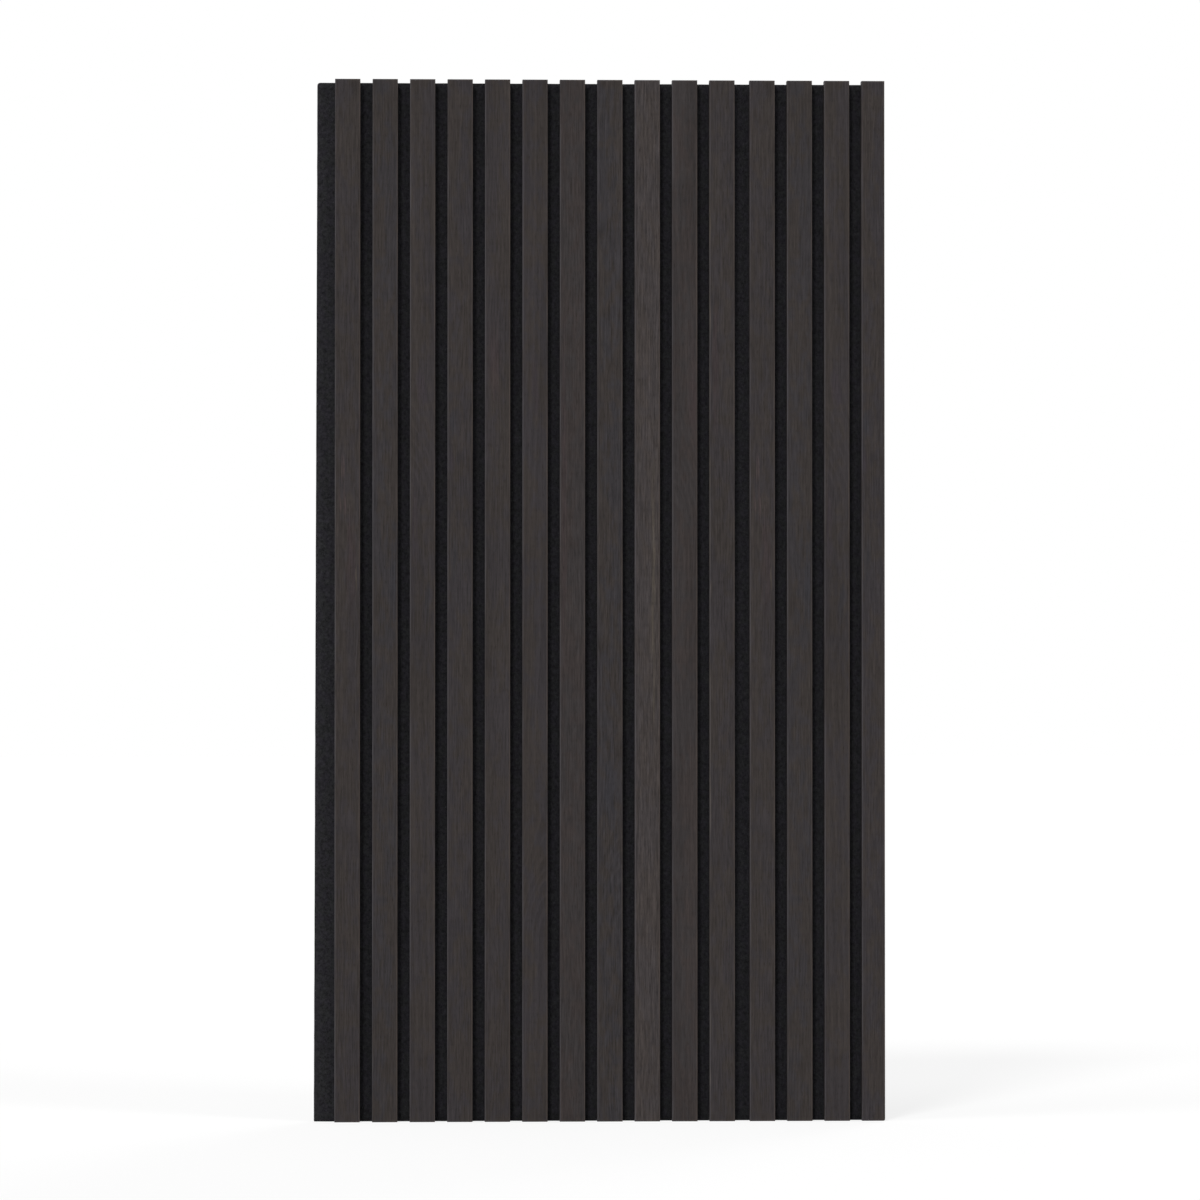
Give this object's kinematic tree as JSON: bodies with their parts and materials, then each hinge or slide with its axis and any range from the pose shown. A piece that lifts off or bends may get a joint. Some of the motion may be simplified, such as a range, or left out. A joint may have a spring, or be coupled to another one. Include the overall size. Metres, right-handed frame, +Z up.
{
  "type": "acoustic slat wall panel",
  "caption": "Wall panel of upright wood-veneered slats stapled to a black felt board, with a bare felt margin along one side to butt against the next panel.",
  "frame": {"origin": "middle of the felt's back face, where the panel meets the wall, half way across and half way up", "axes": "+X to the right across the slats seen from the room, +Y out of the felt's back into the wall, +Z up along the slats"},
  "size_m": [0.6097, 0.021, 1.112],
  "materials": {
    "veneer": "dark grey-brown stained veneer, matt, fine upright grain",
    "fibreboard": "sawn medium-density fibreboard",
    "felt": "pressed black polyester felt",
    "staple_wire": "galvanised wire"
  },
  "bodies": {
    "root": {"felt_backing": "felt", "slat_core_01": "fibreboard", "slat_core_02": "fibreboard", "slat_core_03": "fibreboard", "slat_core_04": "fibreboard", "slat_core_05": "fibreboard", "slat_core_06": "fibreboard", "slat_core_07": "fibreboard", "slat_core_08": "fibreboard", "slat_core_09": "fibreboard", "slat_core_10": "fibreboard", "slat_core_11": "fibreboard", "slat_core_12": "fibreboard", "slat_core_13": "fibreboard", "slat_core_14": "fibreboard", "slat_core_15": "fibreboard", "slat_veneer_01": "veneer", "slat_veneer_02": "veneer", "slat_veneer_03": "veneer", "slat_veneer_04": "veneer", "slat_veneer_05": "veneer", "slat_veneer_06": "veneer", "slat_veneer_07": "veneer", "slat_veneer_08": "veneer", "slat_veneer_09": "veneer", "slat_veneer_10": "veneer", "slat_veneer_11": "veneer", "slat_veneer_12": "veneer", "slat_veneer_13": "veneer", "slat_veneer_14": "veneer", "slat_veneer_15": "veneer", "staples": "staple_wire"}
  },
  "joints": []
}
